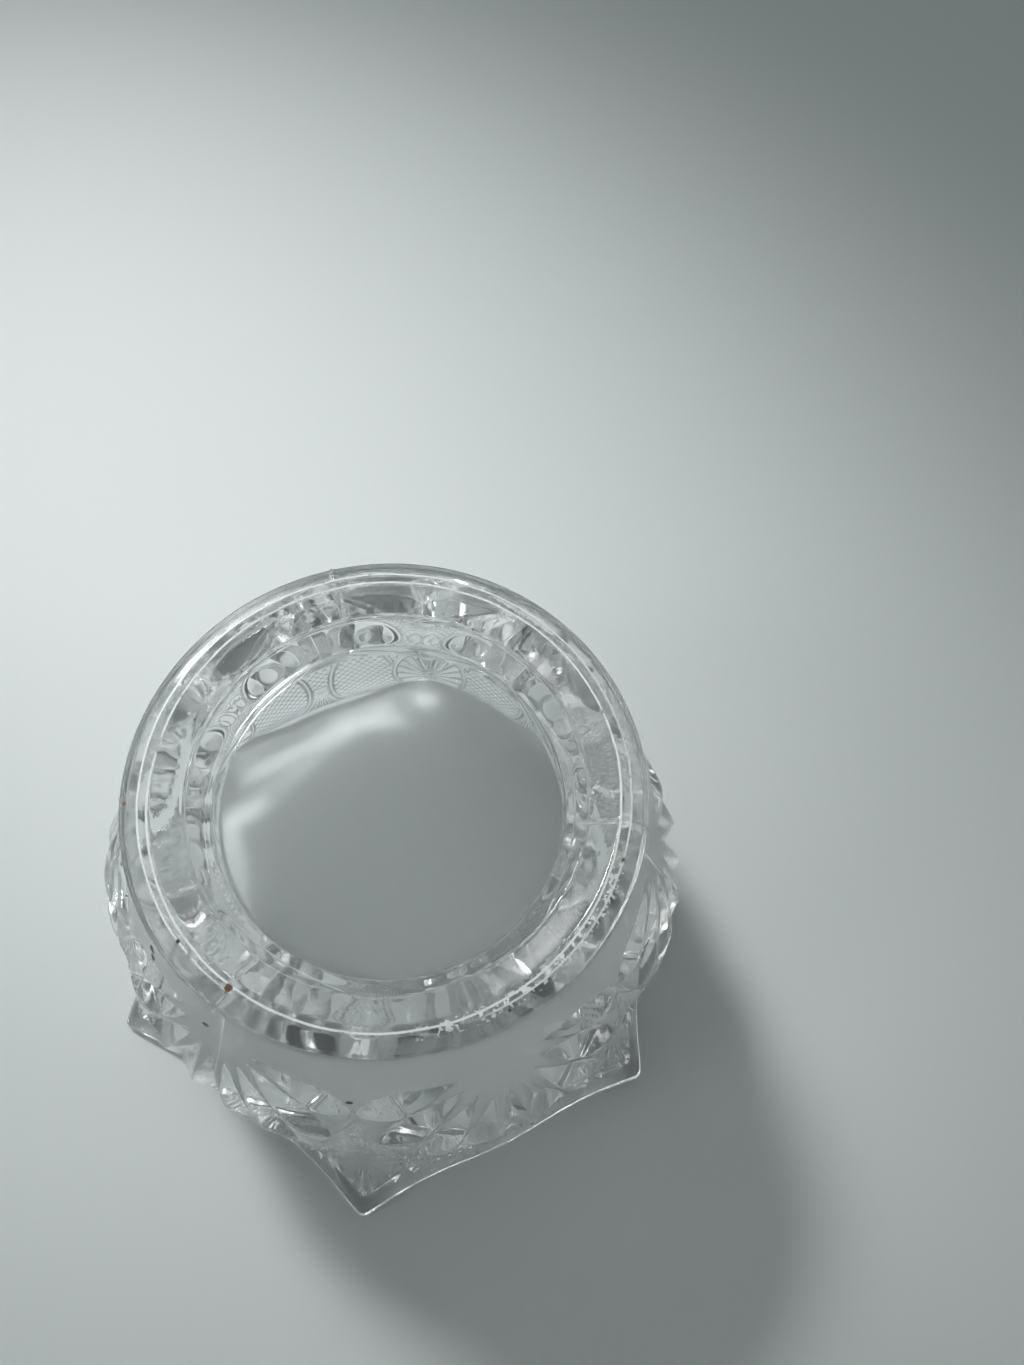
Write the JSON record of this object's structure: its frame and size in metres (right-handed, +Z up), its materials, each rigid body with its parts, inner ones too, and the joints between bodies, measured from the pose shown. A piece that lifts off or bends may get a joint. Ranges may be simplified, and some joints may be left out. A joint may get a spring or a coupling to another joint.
{
  "type": "dappen dish",
  "caption": "Clear pressed-glass dish with a round foot ring and a six-pointed flared rim, standing rim down with its foot ring up.",
  "frame": {"origin": "centre of the plane that the six rim points rest on", "axes": "+Z up through the foot ring, which is at the top; -Y towards one point of the rim"},
  "size_m": [0.0686, 0.0792, 0.0488],
  "materials": {
    "glass": "clear pressed soda glass, smooth and fire polished"
  },
  "bodies": {
    "root": {"foot_ring": "glass", "base_disc": "glass", "bowl_wall": "glass", "pointed_rim": "glass"}
  },
  "joints": []
}
